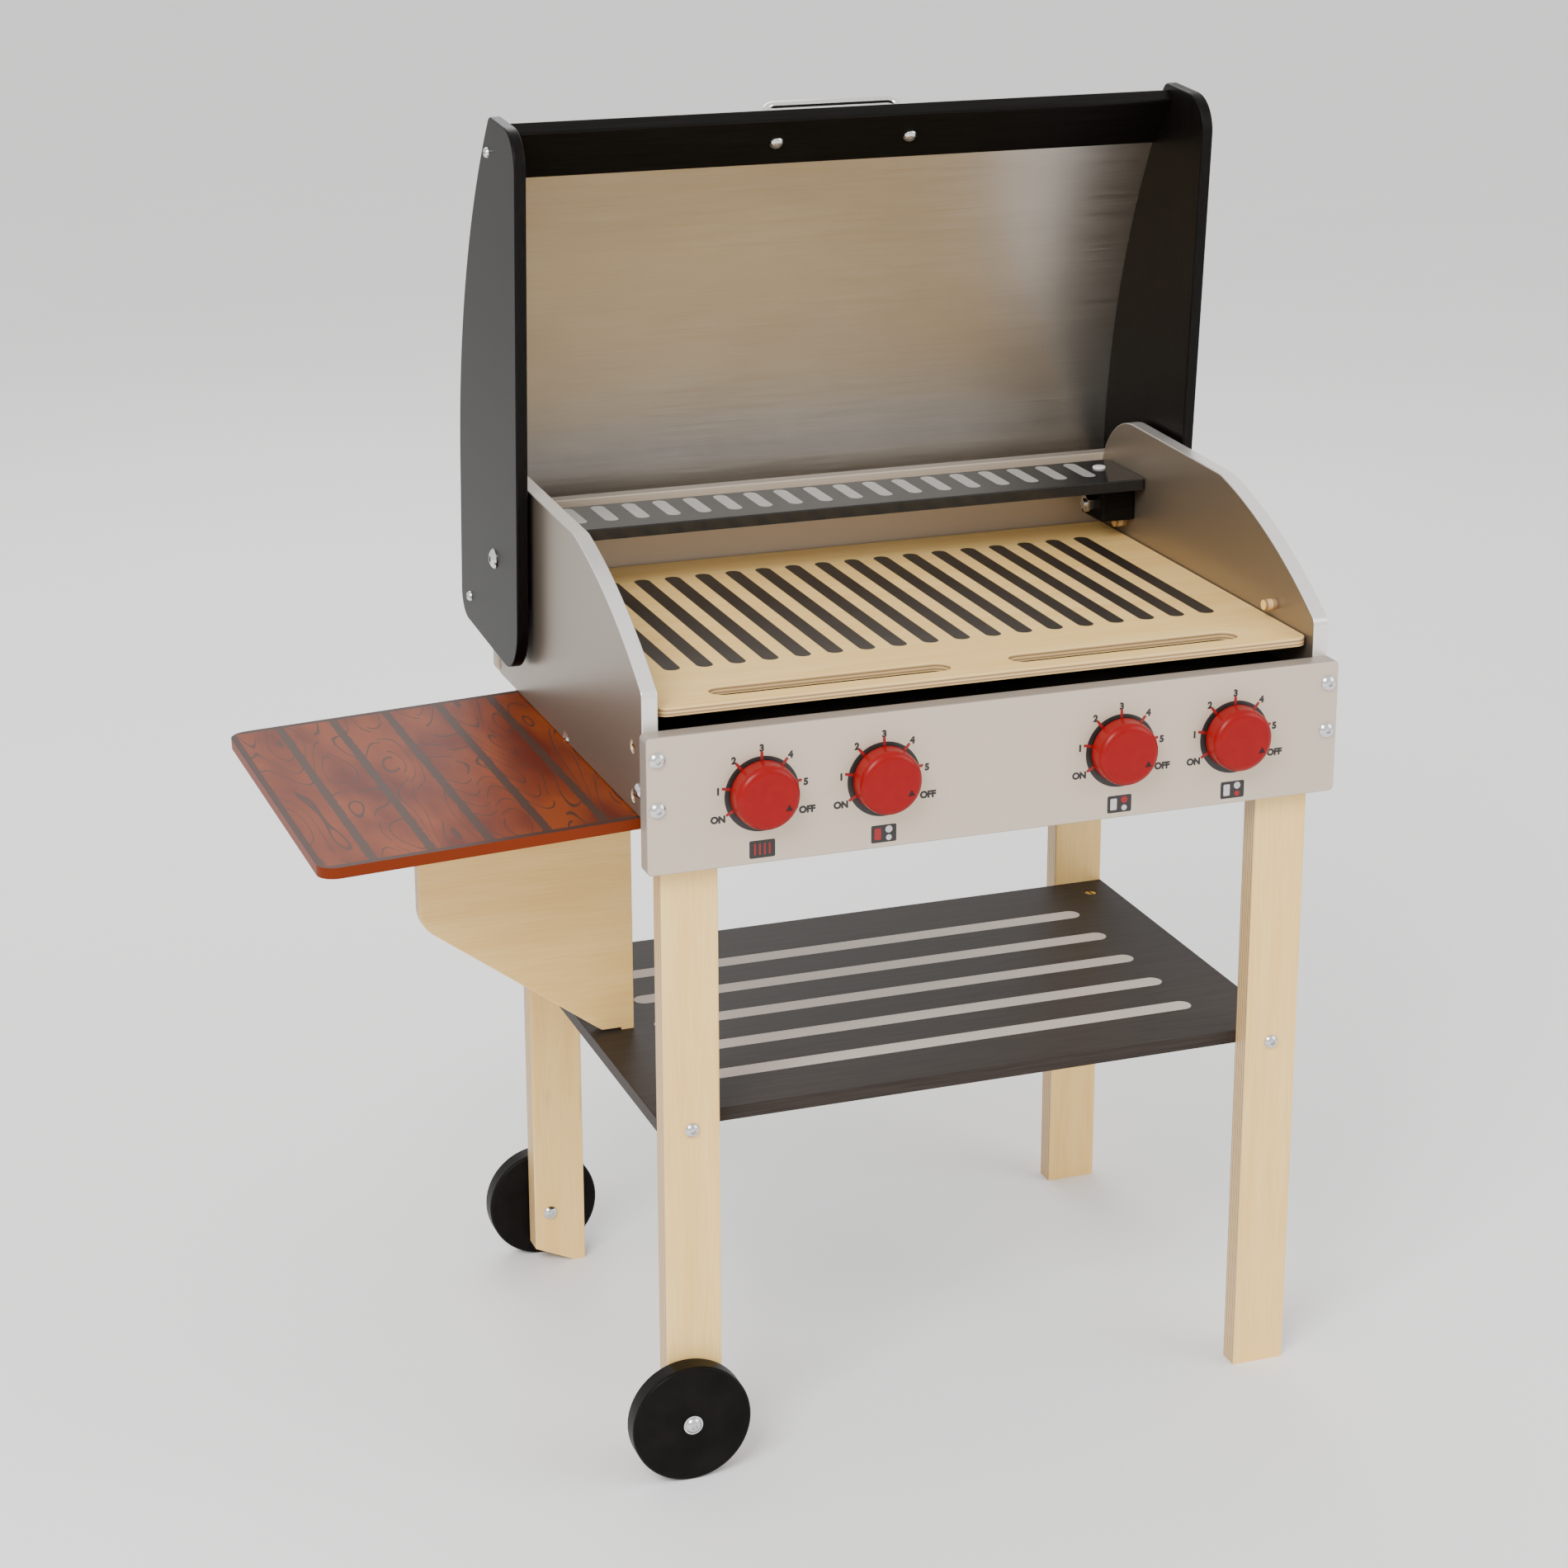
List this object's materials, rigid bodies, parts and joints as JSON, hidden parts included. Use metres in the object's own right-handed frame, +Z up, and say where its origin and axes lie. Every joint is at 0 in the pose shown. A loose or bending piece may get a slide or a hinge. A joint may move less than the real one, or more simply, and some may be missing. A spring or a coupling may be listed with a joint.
{
  "type": "toy barbecue grill",
  "caption": "Toy barbecue grill on a legged stand with a hinged hood lid, sliding cooking board, turning knobs, warming rack, shelf, side table and wheels.",
  "frame": {"origin": "on the floor under the middle of the whole outline, side table included", "axes": "+X along the front panel to the right, +Y to the rear, +Z up"},
  "size_m": [0.7678, 0.4598, 0.9483],
  "materials": {
    "silver_paint": "satin warm silver paint on board",
    "black_paint": "satin black paint on plywood",
    "birch_ply": "clear-lacquered birch plywood",
    "charcoal_paint": "satin charcoal paint with pale stripes",
    "gloss_black": "gloss black paint with grey stripes",
    "plank_print": "glossy plank print",
    "steel_sheet": "brushed along the width",
    "zinc_steel": "bright zinc",
    "bright_wire": "polished",
    "brass_nut": "plain turned",
    "red_gloss": "gloss red",
    "white_cap": "smooth",
    "black_nylon": "smooth"
  },
  "bodies": {
    "frame": {"side_plate_left": "silver_paint", "side_plate_right": "silver_paint", "front_panel": "silver_paint", "back_panel": "silver_paint", "base_tray": "black_paint", "rack_block_left": "black_paint", "rack_block_right": "black_paint", "grate_pegs": "birch_ply", "leg_front_left": "birch_ply", "leg_front_right": "birch_ply", "leg_rear_left": "birch_ply", "leg_rear_right": "birch_ply", "table_bracket": "birch_ply", "shelf": "charcoal_paint", "rack_board": "gloss_black", "side_table": "plank_print", "panel_bolts": "zinc_steel", "leg_bolts": "zinc_steel", "shelf_bolts": "zinc_steel", "table_bolt": "zinc_steel", "axle_bolts": "zinc_steel", "axle_nuts": "zinc_steel", "axle_washers": "zinc_steel", "pivot_bolts": "zinc_steel", "pivot_nuts": "zinc_steel", "rack_screws": "zinc_steel", "tray_screws": "zinc_steel", "bracket_screw": "zinc_steel", "panel_barrel_nuts": "brass_nut", "shelf_barrel_nuts": "brass_nut", "table_barrel_nut": "brass_nut", "leg_insert_nuts": "brass_nut", "rack_screw_caps": "white_cap", "pivot_spacers": "black_nylon", "knob_washers": "black_nylon"},
    "lid": {"lid_cheek_left": "black_paint", "lid_cheek_right": "black_paint", "lid_beam": "black_paint", "lid_rail": "black_paint", "lid_skin": "steel_sheet", "lid_handle": "bright_wire", "handle_bolts": "zinc_steel", "lid_screws": "zinc_steel"},
    "grate": {"grate_board": "birch_ply"},
    "front_wheel": {"wheel_front": "black_paint"},
    "rear_wheel": {"wheel_rear": "black_paint"},
    "knob_1_body": {"knob_1": "red_gloss", "knob_shaft_1": "black_nylon", "knob_lock_nut_1": "zinc_steel"},
    "knob_2_body": {"knob_2": "red_gloss", "knob_shaft_2": "black_nylon", "knob_lock_nut_2": "zinc_steel"},
    "knob_3_body": {"knob_3": "red_gloss", "knob_shaft_3": "black_nylon", "knob_lock_nut_3": "zinc_steel"},
    "knob_4_body": {"knob_4": "red_gloss", "knob_shaft_4": "black_nylon", "knob_lock_nut_4": "zinc_steel"}
  },
  "joints": [
    {"name": "lid_hinge", "type": "hinge", "parent": "frame", "child": "lid", "pos_m": [0.10319, 0.12566, 0.611], "axis": [1, 0, 0], "range_deg": [0, 86]},
    {"name": "grate_slide", "type": "slide", "parent": "frame", "child": "grate", "axis": [0, -1, 0], "range_m": [0, 0.12]},
    {"name": "front_wheel_spin", "type": "hinge", "parent": "frame", "child": "front_wheel", "pos_m": [-0.13481, -0.20734, 0.045], "axis": [0, 1, 0], "continuous": true},
    {"name": "rear_wheel_spin", "type": "hinge", "parent": "frame", "child": "rear_wheel", "pos_m": [-0.13481, 0.18166, 0.045], "axis": [0, 1, 0], "continuous": true},
    {"name": "knob_1_turn", "type": "hinge", "parent": "frame", "child": "knob_1_body", "pos_m": [-0.07831, -0.21234, 0.521], "axis": [0, -1, 0], "range_deg": [0, 236]},
    {"name": "knob_2_turn", "type": "hinge", "parent": "frame", "child": "knob_2_body", "pos_m": [0.01219, -0.21234, 0.521], "axis": [0, -1, 0], "range_deg": [0, 236]},
    {"name": "knob_3_turn", "type": "hinge", "parent": "frame", "child": "knob_3_body", "pos_m": [0.19419, -0.21234, 0.521], "axis": [0, -1, 0], "range_deg": [0, 236]},
    {"name": "knob_4_turn", "type": "hinge", "parent": "frame", "child": "knob_4_body", "pos_m": [0.28469, -0.21234, 0.521], "axis": [0, -1, 0], "range_deg": [0, 236]}
  ]
}
